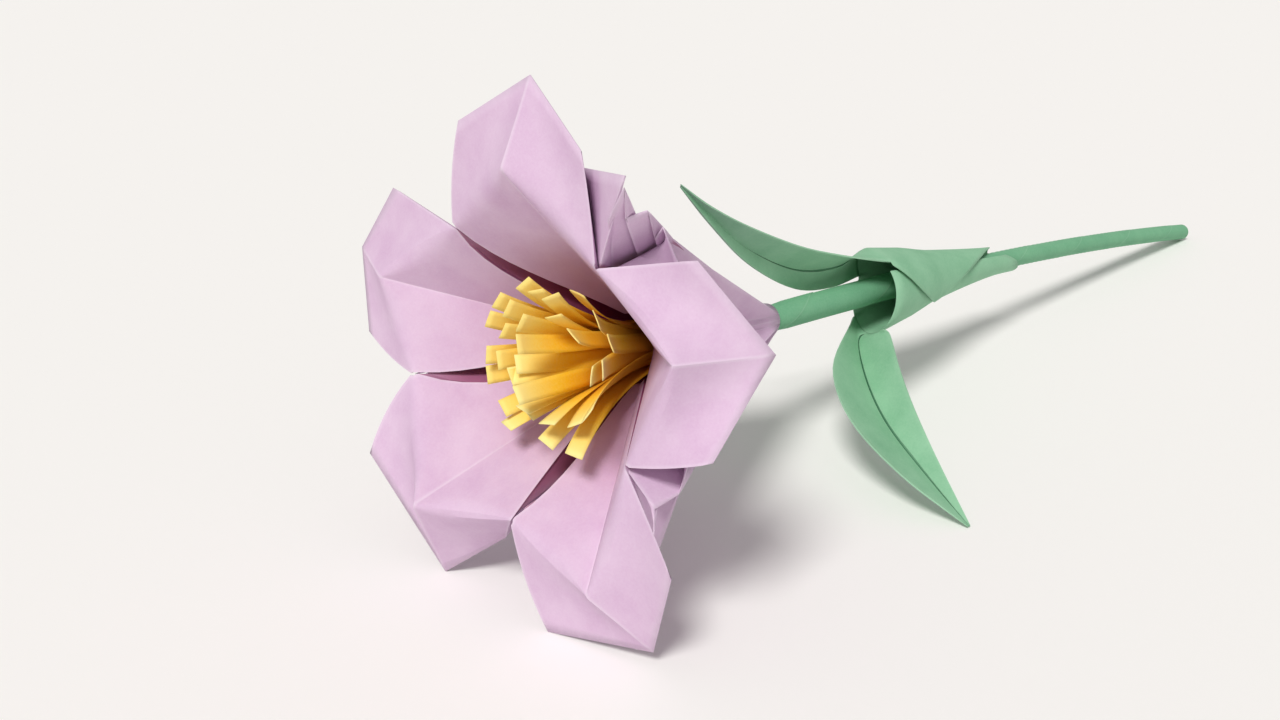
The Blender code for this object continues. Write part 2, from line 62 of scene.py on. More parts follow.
PETALS = 5
HEAD_ROLL = 2.5
SLEEVE_HEIGHT = 44.0
NECK_RADIUS = 2.95
SHEET_HOLE_GAP = 0.55
KEEL_AT_SLEEVE = 7.6
RIDGE_AT_SLEEVE = 7.2
RIDGE_SPLAY = 13.0
SLEEVE_TAPER = 0.7
KINK_RADIUS = 40.0
KINK_HEIGHT = 77.2
MEET_RADIUS = 30.8
MEET_HEIGHT = 73.4
MEET_GAP = 0.45
PETAL_HALF_WIDTH = 18.0
CORNER_RADIUS = 44.3
CORNER_HEIGHT = 73.4
TIP_RADIUS = 54.2
TIP_HEIGHT = 67.0
PETAL_PAPER = 0.22
FACE_BULGE = 0.6
BEND_ROUNDING = 4.0
CREASE_ROUNDING = 0.8
MOST_ROUNDED = 0.4
# how each petal was bent by hand about a hinge inside the cup, in degrees, millimetres and shares
HINGE_RADIUS = 9.0
HINGE_HEIGHT = 46.0
DEEPEN_OUT = 0.8
DEEPEN_DOWN = 0.6
HAND_BENDS = (
    dict(turn=-3.5, lean=-3.0, curl=9.5, twist=0.5, widen=-0.11, deepen=-0.7, droop=-1.7),
    dict(turn=3.7, lean=8.5, curl=17.5, twist=2.5, widen=-0.11, deepen=-3.0, droop=-3.0),
    dict(turn=4.0, lean=-14.0, curl=2.5, twist=18.0, widen=0.23, deepen=2.5, droop=6.0),
    dict(turn=-1.8, lean=2.0, curl=-3.0, twist=3.0, widen=0.08, deepen=1.4, droop=-2.0),
    dict(turn=-2.4, lean=4.0, curl=-23.5, twist=-3.5, widen=-0.1, deepen=0.0, droop=1.0),
)
# the third petal's corner next to the fourth is pushed back by the table: outwards, across and up
PUSHED_PETAL = 2
PUSHED_CORNER = (3.7, -9.6, -16.9)
# how far each petal's edge swells out past its corner: side towards the petal before, and after
EDGE_BULGE = ((0.5, 1.4), (0.0, 1.2), (1.6, 0.0), (1.6, 0.2), (0.6, 0.0))
# how far each side fold bows towards the next petal below the rim, before and after each gap
RIDGE_BOW = ((1.9, 2.9), (1.2, 2.2), (-0.2, 2.0), (-0.5, 0.5), (-0.5, 0.5))
BOW_PEAK = 27 / 4
# Paper turned in behind each side fold: how far aside it runs, and where its raw corner ends on
# the petal (outwards, across, up), for the petals before and after each gap
TUCK_ASIDE = ((0.5, 0.1, 0.0), (1.2, 0.2, 0.0), (-0.9, 0.4, -2.0))
SHORT_TUCK = (32.0, 10.0, 60.0)
LONG_TUCK = (40.0, 9.0, 66.5)
TUCKS = (
    (SHORT_TUCK, SHORT_TUCK),
    (SHORT_TUCK, SHORT_TUCK),
    (SHORT_TUCK, SHORT_TUCK),
    (LONG_TUCK, SHORT_TUCK),
    (SHORT_TUCK, LONG_TUCK),
)
# The paper gathered between two petals, from each petal to the next one. Each row is one fold line:
# share of the pleats' radius and degrees off the middle at the sleeve, then how far the line lies
# outwards, across and up from the two petals' meeting point, at the rim and on the raw edge
PLEATS_AT_SLEEVE = 26.0
CLOSED_PLEATS = (
    ((0.58, -5.0), (-5.0, -2.5, -17.0), (2.5, -2.8, -12.0)),
    ((0.96, -2.0), (1.5, -2.3, -17.0), (7.5, -2.3, -10.3)),
    ((0.63, 1.5), (-4.5, -1.6, -17.0), (3.0, -1.6, -12.0)),
    ((0.96, 5.0), (0.5, -0.3, -10.0), (2.0, 0.1, -1.6)),
    ((0.60, 8.0), (-5.0, -0.3, -17.0), (2.3, 0.0, -12.0)),
    ((0.55, 10.0), (-1.5, 0.15, -2.7), (4.5, 0.4, -6.0)),
)
PLEATS = (
    CLOSED_PLEATS,
    CLOSED_PLEATS,
    CLOSED_PLEATS,
    (
        ((1.00, -7.0), (0.8, -3.1, -17.5), (2.4, -3.1, -14.5)),
        ((0.70, -4.0), (-5.0, -2.8, -17.0), (-2.0, -2.8, -14.0)),
        ((0.96, -1.0), (1.0, -2.2, -17.0), (3.0, -2.2, -13.5)),
        ((0.65, 2.0), (-4.5, -1.8, -15.0), (0.0, -2.0, -10.0)),
        ((0.77, 4.5), (2.0, -1.4, -7.3), (13.5, -2.6, 4.7)),
        ((0.50, 7.0), (0.0, -0.8, -0.8), (9.3, -1.6, 0.9)),
        ((0.92, 9.5), (3.5, -0.4, -14.8), (8.6, -0.8, -5.3)),
    ),
    (
        ((1.10, -7.0), (8.2, -2.1, -11.3), (11.7, -2.1, -6.3)),
        ((0.77, -4.5), (2.7, -1.7, -12.8), (8.7, -1.9, -6.8)),
        ((0.87, -2.0), (8.7, -1.1, -10.5), (15.2, -1.1, -1.0)),
        ((0.54, 1.0), (-2.3, -0.7, -12.8), (13.2, -0.5, 2.2)),
        ((0.63, 3.5), (0.2, -0.3, -14.0), (20.2, -0.1, 6.9)),
        ((0.46, 6.0), (-0.8, 0.4, -4.8), (11.7, 0.6, 4.2)),
        ((0.54, 9.5), (1.6, -0.4, 0.0), (21.7, 0.9, 6.9)),
    ),
)
LAST_PLEAT_BOW = 0.5
# where the points of a fold line and of half a petal lie, and how finely each pleat is divided
ROWS_SLEEVE = 8
ROWS_CUP = 9
ROWS_BEND = 5
ROWS_END = 7
HALF_SHARES = (0.0, 0.03, 0.15, 0.32, 0.5, 0.68, 0.85, 0.97, 1.0)
PLEAT_SHARES = (0.08, 0.5, 0.92)
# marks that the paper's colour follows: raw edges paler, rubbed with painted highlight, and the
# painted shade down inside petals and pleats, given against the height in the cup as a share of its depth
RAW_EDGE_RUB_AND_HIGHLIGHT = 0.6
PAINTED_SHADE_IN_PETAL = 0.55
PAINTED_SHADE_REACH = 0.7
PAINTED_SHADE_UP_PLEAT = ((0.0, 1.0), (0.85, 0.8), (1.1, 0.35), (1.35, 0.0))
# craft paper: clouding and fibres in the sheet, in bumps for each metre, and how much they show
CLOUD_SCALE = 110.0
CLOUD_SPREAD = (0.35, 0.7)
FIBRE_SCALE = 2200.0
FIBRE_SPREAD = (0.3, 0.75)
FIBRE_SHOWS = 0.16
RUB_AND_HIGHLIGHT_SHOWS = 0.45
FIBRE_RELIEF = 0.0001
FIBRE_BUMP = 0.25
PAPER_SHEEN = 0.25
SMOOTH_BELOW = 28.0


def on_flower(radial, tangential, height, direction):
    # a place given from the flower's axis, for a direction about it in degrees from straight up
    angle = math.radians(direction)
    out = math.cos(angle) * UP + math.sin(angle) * SIDE
    along = -math.sin(angle) * UP + math.cos(angle) * SIDE
    return JUNCTION + radial * out + tangential * along + height * AXIS


def way_on_flower(radial, tangential, height, direction):
    return on_flower(radial, tangential, height, direction) - on_flower(0, 0, 0, 0)


def lerp(a, b, t):
    return a + (b - a) * t


def quadratic(a, b, c, t):
    return a * (1 - t) ** 2 + b * 2 * t * (1 - t) + c * t ** 2


def arch(share):
    # 0 at both ends and 1 half way
    return 4 * share * (1 - share)


def rotate_pair(a, b, degrees):
    angle = math.radians(degrees)
    return a * math.cos(angle) - b * math.sin(angle), a * math.sin(angle) + b * math.cos(angle)


def petal_direction(index):
    return HEAD_ROLL + index * 360.0 / PETALS + HAND_BENDS[index % PETALS]["turn"]


def gap_direction(index):
    turns = HAND_BENDS[index % PETALS]["turn"] + HAND_BENDS[(index + 1) % PETALS]["turn"]
    return HEAD_ROLL + (index + 0.5) * 360.0 / PETALS + turns / 2


def gap_beside(index, hand):
    return index if hand > 0 else index - 1


def petal_point(index, radial, tangential, height, part):
    bend = HAND_BENDS[index % PETALS]
    if part in ("kink", "tip"):
        radial += bend["deepen"] * DEEPEN_OUT
        height -= bend["deepen"] * DEEPEN_DOWN
    if part == "tip":
        height -= bend["droop"]
    if part in ("edge", "tip"):
        dr, dh = rotate_pair(radial - KINK_RADIUS, height - KINK_HEIGHT, bend["curl"])
        radial, height = KINK_RADIUS + dr, KINK_HEIGHT + dh
    tangential *= 1 + bend["widen"]
    spine = np.array([KINK_RADIUS - HINGE_RADIUS, 0.0, KINK_HEIGHT - HINGE_HEIGHT])
    spine /= np.linalg.norm(spine)
    arm = np.array([radial - HINGE_RADIUS, tangential, height - HINGE_HEIGHT])
    twist = math.radians(bend["twist"])
    arm = (arm * math.cos(twist) + np.cross(spine, arm) * math.sin(twist)
           + spine * (spine @ arm) * (1 - math.cos(twist)))
    dr, dh = rotate_pair(arm[0], arm[2], -bend["lean"])
    return on_flower(HINGE_RADIUS + dr, arm[1], HINGE_HEIGHT + dh, petal_direction(index))


def meeting_point(index):
    half = math.pi / PETALS
    radial, tangential = MEET_RADIUS * math.cos(half), MEET_RADIUS * math.sin(half)
    here = petal_point(index, radial, tangential, MEET_HEIGHT, "cup")
    there = petal_point(index + 1, radial, -tangential, MEET_HEIGHT, "cup")
    return (here + there) / 2


def keel_controls(index):
    # the crease up a petal's middle: half way up the sleeve, its top, the bend, and the tip
    direction = petal_direction(index)
    return [
        on_flower(KEEL_AT_SLEEVE - SLEEVE_TAPER, 0, SLEEVE_HEIGHT / 2, direction),
        on_flower(KEEL_AT_SLEEVE, 0, SLEEVE_HEIGHT, direction),
        petal_point(index, KINK_RADIUS, 0, KINK_HEIGHT, "kink"),
        petal_point(index, TIP_RADIUS, 0, TIP_HEIGHT, "tip"),
    ]


def corner_push(index, hand):
    pushed = PUSHED_CORNER if index % PETALS == PUSHED_PETAL and hand > 0 else (0, 0, 0)
    return way_on_flower(*pushed, petal_direction(index))


def side_controls(index, hand):
    # the fold down a petal's side, from the same four heights out to the petal's corner
    splayed = petal_direction(index) + hand * RIDGE_SPLAY
    gap = gap_beside(index, hand)
    across = way_on_flower(0, 1, 0, gap_direction(gap))
    corner = petal_point(index, CORNER_RADIUS, hand * PETAL_HALF_WIDTH, CORNER_HEIGHT, "edge")
    return [
        on_flower(RIDGE_AT_SLEEVE - SLEEVE_TAPER, 0, SLEEVE_HEIGHT / 2, splayed),
        on_flower(RIDGE_AT_SLEEVE, 0, SLEEVE_HEIGHT, splayed),
        meeting_point(gap) - across * hand * MEET_GAP / 2,
        corner + corner_push(index, hand),
    ]


def corner_outward(index, hand):
    wider = petal_point(index, CORNER_RADIUS, hand * (PETAL_HALF_WIDTH + 1), CORNER_HEIGHT, "edge")
    outward = wider - petal_point(index, CORNER_RADIUS, hand * PETAL_HALF_WIDTH, CORNER_HEIGHT, "edge")
    return outward * EDGE_BULGE[index % PETALS][0 if hand < 0 else 1]


def ridge_bow(index, hand):
    gap = gap_beside(index, hand)
    amount = RIDGE_BOW[gap % PETALS][0 if hand > 0 else 1]
    return amount * way_on_flower(0, 1, 0, gap_direction(gap))


def tuck_controls(index, hand, direction):
    # the paper turned in close behind a petal's side fold, out of sight
    tuck = []
    for point, (outwards, across, upwards) in zip(side_controls(index, hand), TUCK_ASIDE):
        tuck.append(point + way_on_flower(outwards, -hand * across, upwards, direction))
    radial, across, height = TUCKS[gap_beside(index, hand) % PETALS][0 if hand > 0 else 1]
    tuck.append(petal_point(index, radial, hand * across, height, "cup") + corner_push(index, hand) / 2)
    return tuck


def pleat_controls(index):
    direction = gap_direction(index)
    meet = meeting_point(index)
    folds = [tuck_controls(index, 1, direction)]
    for (share, turn), rim, edge in PLEATS[index % PETALS]:
        radius = share * PLEATS_AT_SLEEVE
        folds.append([
            on_flower((NECK_RADIUS + radius) / 2, 0, SLEEVE_HEIGHT / 2, direction + turn),
            on_flower(radius, 0, SLEEVE_HEIGHT, direction + turn),
            meet + way_on_flower(*rim, direction),
            meet + way_on_flower(*edge, direction),
        ])
    folds.append(tuck_controls(index + 1, -1, direction))
    return folds


def fold_line(controls, base, rounding, bow, bulge):
    # one line from the sheet's hole up the sleeve and the cup, round the bend and out to the edge
    low, sleeve, rim, edge = controls
    before_bend = lerp(rim, sleeve, min(MOST_ROUNDED, rounding / np.linalg.norm(sleeve - rim)))
    past_bend = lerp(rim, edge, min(MOST_ROUNDED, rounding / np.linalg.norm(edge - rim)))
    line = [quadratic(base, low, sleeve, i / ROWS_SLEEVE) for i in range(ROWS_SLEEVE)]
    for i in range(ROWS_CUP):
        share = i / ROWS_CUP
        line.append(lerp(sleeve, before_bend, share) + bow * BOW_PEAK * share ** 2 * (1 - share))
    line += [quadratic(before_bend, rim, past_bend, i / (ROWS_BEND - 1)) for i in range(ROWS_BEND)]
    line += [lerp(past_bend, edge, i / ROWS_END) for i in range(1, ROWS_END + 1)]
    line = np.array(line)
    swell = arch(np.linspace(0, 1, ROWS_END + 2))
    line[-len(swell):] += swell[:, None] * bulge
    return line


def faces_between(lines, points, lines_meet=False, points_meet=False):
    # faces between neighbouring lines of points, whose last line or point may meet the first one
    faces = []
    for line in range(lines if lines_meet else lines - 1):
        beside = (line + 1) % lines
        for point in range(points if points_meet else points - 1):
            above = (point + 1) % points
            faces.append((line * points + point, beside * points + point,
                          beside * points + above, line * points + above))
    return faces


def mark_points(mesh, name, values):
    marks = mesh.attributes.new(name, "FLOAT", "POINT")
    marks.data.foreach_set("value", np.array(values, dtype=np.float32))


def add_object(name, mesh):
    made = bpy.data.objects.new(name, mesh)
    bpy.context.scene.collection.objects.link(made)
    return made


def add_paper(made, thickness):
    paper = made.modifiers.new("paper", "SOLIDIFY")
    paper.thickness = thickness * MM
    paper.offset = 0.0
    paper.use_rim = True


def finished_mesh(made):
    bpy.context.view_layer.update()
    return bpy.data.meshes.new_from_object(made.evaluated_get(bpy.context.evaluated_depsgraph_get()))


def paper_mesh(name, points, faces, folds, finish, smooth_below):
    # a sheet or a tube of paper as a mesh, with its fold marks and a smooth look between the folds
    mesh = bpy.data.meshes.new(name)
    mesh.from_pydata([tuple(float(c) * MM for c in p) for p in points], [], faces)
    mark_points(mesh, "fold", folds)
    mesh.materials.append(finish)
    mesh.polygons.foreach_set("use_smooth", [True] * len(mesh.polygons))
    mesh.set_sharp_from_angle(angle=math.radians(smooth_below))
    return mesh


def craft_paper(name, colour, deep, pale, shade, roughness):
    # dyed craft paper: even colour with faint clouding, fine fibres, folds and edges paler as rubbing
    # and painted highlight, and a painted shade colour down in the hollows, where light only comes
    # through or off other coloured paper
    made = bpy.data.materials.new(name)
    made.use_nodes = True
    nodes, links = made.node_tree.nodes, made.node_tree.links
    shader = nodes["Principled BSDF"]
    place = nodes.new("ShaderNodeTexCoord")

    def noise(scale, detail):
        node = nodes.new("ShaderNodeTexNoise")
        node.inputs["Scale"].default_value = scale
        node.inputs["Detail"].default_value = detail
        links.new(place.outputs["Object"], node.inputs["Vector"])
        return node

    def spread(value, low, high, most):
        node = nodes.new("ShaderNodeMapRange")
        node.inputs["From Min"].default_value = low
        node.inputs["From Max"].default_value = high
        node.inputs["To Max"].default_value = most
        links.new(value, node.inputs["Value"])
        return node.outputs["Result"]

    def over(under, cover, amount):
        node = nodes.new("ShaderNodeMix")
        node.data_type = "RGBA"
        if isinstance(under, tuple):
            node.inputs["A"].default_value = (*under, 1.0)
        else:
            links.new(under, node.inputs["A"])
        node.inputs["B"].default_value = (*cover, 1.0)
        links.new(amount, node.inputs["Factor"])
        return node.outputs["Result"]

    def marked(attribute):
        node = nodes.new("ShaderNodeAttribute")
        node.attribute_name = attribute
        return node.outputs["Fac"]

    clouds = noise(CLOUD_SCALE, 4.0)
    clouds.inputs["Roughness"].default_value = 0.6
    fibres = noise(FIBRE_SCALE, 3.0)
    # paler where the fold mark lies: rubbed paper with painted highlight on folds and edges, only painted
    # highlight on the strips' tips
    rub_and_highlight = nodes.new("ShaderNodeMath")
    rub_and_highlight.operation = "MULTIPLY"
    rub_and_highlight.inputs[1].default_value = RUB_AND_HIGHLIGHT_SHOWS
    links.new(marked("fold"), rub_and_highlight.inputs[0])
    dyed = over(colour, deep, spread(clouds.outputs["Fac"], *CLOUD_SPREAD, 1.0))
    dyed = over(dyed, pale, spread(fibres.outputs["Fac"], *FIBRE_SPREAD, FIBRE_SHOWS))
    dyed = over(dyed, pale, rub_and_highlight.outputs["Value"])
    # painted shade: the shade colour where the painted_shade mark lies
    dyed = over(dyed, shade, marked("painted_shade"))
    links.new(dyed, shader.inputs["Base Color"])
    grain = nodes.new("ShaderNodeBump")
    grain.inputs["Strength"].default_value = FIBRE_BUMP
    grain.inputs["Distance"].default_value = FIBRE_RELIEF
    links.new(fibres.outputs["Fac"], grain.inputs["Height"])
    links.new(grain.outputs["Normal"], shader.inputs["Normal"])
    shader.inputs["Roughness"].default_value = roughness
    shader.inputs["Specular IOR Level"].default_value = PAPER_SHEEN
    return made


# each column holds its controls, rounding, bow and bulge, then 1 on a crease, drawn paler as rubbing
# and painted highlight, and 1 in the pleats, which take the pleats' painted shade
columns = []
straight = np.zeros(3)
for index in range(PETALS):
    keel = keel_controls(index)
    for hand in (-1, 1):
        side = side_controls(index, hand)
        outward = corner_outward(index, hand)
        normal = np.cross(side[2] - keel[2], keel[3] - keel[2]) * hand
        normal /= np.linalg.norm(normal)
        for share in (HALF_SHARES[::-1] if hand < 0 else HALF_SHARES[1:]):
            controls = [lerp(a, b, share) for a, b in zip(keel, side)]
            rounding = lerp(CREASE_ROUNDING, BEND_ROUNDING, arch(share))
            bulge = outward * share ** 2 + normal * FACE_BULGE * arch(share)
            bow = ridge_bow(index, hand) * share
            columns.append((controls, rounding, bow, bulge, 1.0 if share in (0.0, 1.0) else 0.0, 0.0))
    first_bow, last_bow = ridge_bow(index, 1), ridge_bow(index + 1, -1)
    pleats = pleat_controls(index)
    bows = [first_bow] + [straight] * (len(pleats) - 3) + [last_bow * LAST_PLEAT_BOW, last_bow]
    folds = [(side_controls(index, 1), CREASE_ROUNDING, first_bow, corner_outward(index, 1))]
    folds += [(pleat, CREASE_ROUNDING, bow, straight) for pleat, bow in zip(pleats, bows)]
    folds += [(side_controls(index + 1, -1), CREASE_ROUNDING, last_bow, corner_outward(index + 1, -1))]
    for number, (fold, following) in enumerate(zip(folds[:-1], folds[1:])):
        if number > 0:
            columns.append((*fold, 1.0, 1.0))
        for share in PLEAT_SHARES:
            controls = [lerp(a, b, share) for a, b in zip(fold[0], following[0])]
            between = [lerp(a, b, share) for a, b in zip(fold[1:], following[1:])]
            columns.append((controls, *between, 0.0, 1.0))

head_lines = []
head_folds = []
head_painted_shades = []
column_turn = 360.0 / len(columns)
first_turn = petal_direction(0) - (len(HALF_SHARES) - 1) * column_turn
for number, (controls, rounding, bow, bulge, crease, gathered) in enumerate(columns):
    base = on_flower(NECK_RADIUS + SHEET_HOLE_GAP, 0, 0, first_turn + number * column_turn)
    line = fold_line(controls, base, rounding, bow, bulge)
    head_lines.append(line)
    # creases and the raw edge drawn paler: rubbed paper with painted highlight
    paler_mark = np.full(len(line), crease)
    paler_mark[-1] = max(paler_mark[-1], RAW_EDGE_RUB_AND_HIGHLIGHT)
    head_folds.append(paler_mark)
    # painted shade down inside the petals and the pleats
    up_cup = np.maximum(0.0, (np.arange(len(line)) - ROWS_SLEEVE) / ROWS_CUP)
    if gathered:
        head_painted_shades.append(np.interp(up_cup, *zip(*PAINTED_SHADE_UP_PLEAT)))
    else:
        head_painted_shades.append(PAINTED_SHADE_IN_PETAL * np.maximum(0.0, 1.0 - up_cup / PAINTED_SHADE_REACH))

# the fourth colour is the painted shade, a dark magenta, down inside the petals and pleats
petal_paper = craft_paper(
    "lilac_craft_paper",
    (0.71, 0.52, 0.69), (0.64, 0.43, 0.62), (0.83, 0.72, 0.83), (0.30, 0.045, 0.14), 0.8)
head_faces = faces_between(len(head_lines), len(head_lines[0]), lines_meet=True)
flat_head = paper_mesh(
    "folded_head", np.vstack(head_lines), head_faces, np.concatenate(head_folds), petal_paper, SMOOTH_BELOW)
flower_head = add_object("folded_head", flat_head)
add_paper(flower_head, PETAL_PAPER)
thick_head = finished_mesh(flower_head)
flower_head.modifiers.clear()
flower_head.data = thick_head
bpy.data.meshes.remove(flat_head)
# the paper's two faces follow each other in the mesh, and only the one in the cup gets the painted shade
face_points = len(head_lines) * len(head_lines[0])
places = np.empty(len(thick_head.vertices) * 3, dtype=np.float32)
thick_head.vertices.foreach_get("co", places)
from_axis = places.reshape(-1, 3) / MM - JUNCTION
from_axis = np.linalg.norm(from_axis - np.outer(from_axis @ AXIS, AXIS), axis=1)
first_is_inside = from_axis[:face_points].mean() < from_axis[face_points:2 * face_points].mean()
inside = 0 if first_is_inside else face_points
painted_shades = np.zeros(len(thick_head.vertices))
painted_shades[inside:inside + face_points] = np.concatenate(head_painted_shades)
mark_points(thick_head, "painted_shade", painted_shades)
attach(flower_head, "root")
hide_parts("flower_head")


# Stamens: a strip of yellow craft paper, one long edge cut into a fringe, rolled tightly round the
# stem's inner end and glued. Each cut strip was then bent outwards by hand.
FRINGE_BOTTOM = 33.5
FRINGE_TOP = 46.5
STRIP_WIDTH = 3.6
STRIP_PAPER = 0.18
STRIP_COLUMNS = 5
STRIP_ROWS = 27
# one row a strip, from the top of the picture down: where it leaves the roll and which way it leans
# (degrees about the axis), lean, turn on itself, length, distance from the axis, root height
STRIPS = (
    (358, 15, 26, -36, 26, 5.0, 0), (4, 358, 25, -25, 25, 4.6, 0), (340, 340, 27, -55, 27, 4.4, 0),
    (30, 32, 19, -33, 27, 5.2, 0), (26, 23, 16, -51, 26, 4.8, 0), (356, 356, 12, -79, 27, 4.2, 0),
    (330, 342, 7, 50, 29, 3.9, 0), (85, 86, 11, -5, 26, 4.4, 0), (82, 81, 3, -27, 26, 4.2, 0),
    (278, 269, -14, -28, 26, 4.0, -1), (281, 290, -17, -24, 26, 4.2, 0), (247, 245, 2, -62, 30, 4.4, 0),
    (170, 152, 21, -21, 25, 4.8, 0), (199, 198, 6, 26, 26, 4.2, 0), (232, 233, 15, 42, 27, 4.6, 0),
    (254, 233, 23, 24, 24, 5.0, 0), (220, 209, 18, 56, 28, 5.4, -2), (243, 215, 27, 46, 28, 5.8, -3),
    (318, 307, 23, -20, 25, 5.0, 0), (317, 314, 29, 5, 25, 5.4, -3), (332, 339, 21, -47, 24, 4.0, 0),
    (285, 284, 26, 3, 26, 5.6, -3), (277, 283, 24, 11, 26, 5.0, -2), (267, 257, 24, 20, 30, 5.8, -3),
    (110, 110, 14, 8, 25, 5.0, 0), (60, 60, 20, -12, 25, 5.2, 0), (145, 145, 16, 10, 24, 5.2, 0),
    (180, 180, 10, 30, 23, 4.6, 0), (45, 45, 10, -20, 25, 4.4, 0), (130, 130, -2, 10, 25, 4.0, 0),
    (300, 300, 26, -4, 22, 5.8, -4), (340, 345, 28, -10, 21, 5.8, -2),
)
STRIP_COLUMN_NAMES = ("turn", "heading", "lean", "roll", "length", "root", "base")
STRIP_COLUMN_UNITS = [math.radians(1)] * 4 + [MM] * 3
# how far each cut runs down the roll, as a share of the strip's length, and how much of a strip's
# lean it has where it leaves the roll, how quickly that comes, and how its turn runs up it
CUT_BELOW = 0.3
LEAN_AT_ROOT = 0.45
LEAN_COMES_FROM = 0.02
LEAN_COMES_BY = 20.0
TURN_POWER = 0.7
# how far each strip is cupped across its width, one way or the other from strip to strip
STRIP_CUP = 0.4
CUP_BEAT = 3.1
# painted highlight on the tips, more on the strips that head down or towards the window,
# and painted shade on the roots
TIP_LIGHT_FROM = 0.55
TIP_LIGHT = 1.5
LIT_SIDE_TIP_LIGHT = 2.2
LIT_SIDE_HEADINGS = (150, 295)
SHADED_UP_TO = 0.7
SHADED_ROOT = 0.8


def fringe_tree():
    tree = bpy.data.node_groups.new("cut_fringe", "GeometryNodeTree")
    tree.interface.new_socket("Strips", in_out="INPUT", socket_type="NodeSocketGeometry")
    for name in ("Strip Width", "Fringe Top"):
        tree.interface.new_socket(name, in_out="INPUT", socket_type="NodeSocketFloat")
    for name in ("Junction", "Axis", "Up", "Side"):
        tree.interface.new_socket(name, in_out="INPUT", socket_type="NodeSocketVector")
    tree.interface.new_socket("Paper", in_out="INPUT", socket_type="NodeSocketMaterial")
    tree.interface.new_socket("Fringe", in_out="OUTPUT", socket_type="NodeSocketGeometry")
    nodes, links = tree.nodes, tree.links
    given = nodes.new("NodeGroupInput").outputs
    result = nodes.new("NodeGroupOutput")

    def wire(value, socket):
        if isinstance(value, (int, float)):
            socket.default_value = value
        else:
            links.new(value, socket)

    def number(operation, a, b=0.0):
        node = nodes.new("ShaderNodeMath")
        node.operation = operation
        wire(a, node.inputs[0])
        wire(b, node.inputs[1])
        return node.outputs[0]

    def scaled(vector, factor):
        node = nodes.new("ShaderNodeVectorMath")
        node.operation = "SCALE"
        links.new(vector, node.inputs[0])
        wire(factor, node.inputs["Scale"])
        return node.outputs[0]

    def added(first, second):
        node = nodes.new("ShaderNodeVectorMath")
        node.operation = "ADD"
        links.new(first, node.inputs[0])
        links.new(second, node.inputs[1])
        return node.outputs[0]

    def read(name):
        node = nodes.new("GeometryNodeInputNamedAttribute")
        node.data_type = "FLOAT"
        node.inputs["Name"].default_value = name
        return node.outputs["Attribute"]

    def stored(geometry, name, value):
        node = nodes.new("GeometryNodeStoreNamedAttribute")
        node.data_type = "FLOAT"
        node.inputs["Name"].default_value = name
        links.new(geometry, node.inputs["Geometry"])
        links.new(value, node.inputs["Value"])
        return node.outputs["Geometry"]

    def realized(geometry):
        node = nodes.new("GeometryNodeRealizeInstances")
        links.new(geometry, node.inputs["Geometry"])
        return node.outputs["Geometry"]

    # flat strips, one at each root, that still lie on each other
    strip = nodes.new("GeometryNodeMeshGrid")
    strip.inputs["Size X"].default_value = 1.0
    strip.inputs["Size Y"].default_value = 1.0
    strip.inputs["Vertices X"].default_value = STRIP_COLUMNS
    strip.inputs["Vertices Y"].default_value = STRIP_ROWS
    place = nodes.new("GeometryNodeInstanceOnPoints")
    links.new(given["Strips"], place.inputs["Points"])
    links.new(strip.outputs["Mesh"], place.inputs["Instance"])
    flat = nodes.new("ShaderNodeSeparateXYZ")
    links.new(nodes.new("GeometryNodeInputPosition").outputs["Position"], flat.inputs["Vector"])
    share_across = flat.outputs["X"]
    share_along = number("ADD", flat.outputs["Y"], 0.5)

    # how far up the strip, or down its cut in the roll
    along_cut = number("SUBTRACT", number("MULTIPLY", share_along, 1.0 + CUT_BELOW), CUT_BELOW)
    up_strip = number("MAXIMUM", along_cut, 0.0)
    below_top = number("MULTIPLY", read("length"), number("MINIMUM", along_cut, 0.0))

    # the strip bends outwards, turns on itself and is cupped across
    lean_share = number("ADD", number("MULTIPLY", up_strip, 1.0 - LEAN_AT_ROOT), LEAN_AT_ROOT)
    lean_comes = number("MULTIPLY", number("ADD", up_strip, LEAN_COMES_FROM), LEAN_COMES_BY)
    bend = number("MULTIPLY", read("lean"), lean_share)
    bend = number("MULTIPLY", bend, number("MINIMUM", lean_comes, 1.0))
    aside = number("SUBTRACT", read("turn"), read("heading"))
    turn_share = number("POWER", up_strip, TURN_POWER)
    turned = number("ADD", aside, number("MULTIPLY", number("SUBTRACT", read("roll"), aside), turn_share))
    hump = number("SUBTRACT", 0.5 ** 2, number("MULTIPLY", share_across, share_across))
    cupped = number("MULTIPLY", hump, read("cup"))
    across = number("MULTIPLY", share_across, given["Strip Width"])
    sideways = number("MULTIPLY", across, number("COSINE", turned))
    lift = number("ADD", number("MULTIPLY", across, number("SINE", turned)), cupped)
    reach = number("MULTIPLY", read("length"), up_strip)
    reach_out = number("MULTIPLY", reach, number("SINE", bend))
    reach_up = number("MULTIPLY", reach, number("COSINE", bend))
    radial = number("ADD", reach_out, number("MULTIPLY", lift, number("COSINE", bend)))
    root_height = number("ADD", number("ADD", given["Fringe Top"], read("base")), below_top)
    height = number("ADD", root_height, reach_up)
    height = number("SUBTRACT", height, number("MULTIPLY", lift, number("SINE", bend)))

    # from the flower's axis to the strip's place
    cosine, sine = number("COSINE", read("heading")), number("SINE", read("heading"))
    out = added(scaled(given["Up"], cosine), scaled(given["Side"], sine))
    along = added(scaled(given["Side"], cosine), scaled(given["Up"], number("MULTIPLY", sine, -1.0)))
    root_up = number("MULTIPLY", read("root"), number("COSINE", read("turn")))
    root_side = number("MULTIPLY", read("root"), number("SINE", read("turn")))
    bent = added(added(scaled(out, radial), scaled(along, sideways)),
                 added(scaled(given["Axis"], height), given["Junction"]))
    bent = added(bent, added(scaled(given["Up"], root_up), scaled(given["Side"], root_side)))
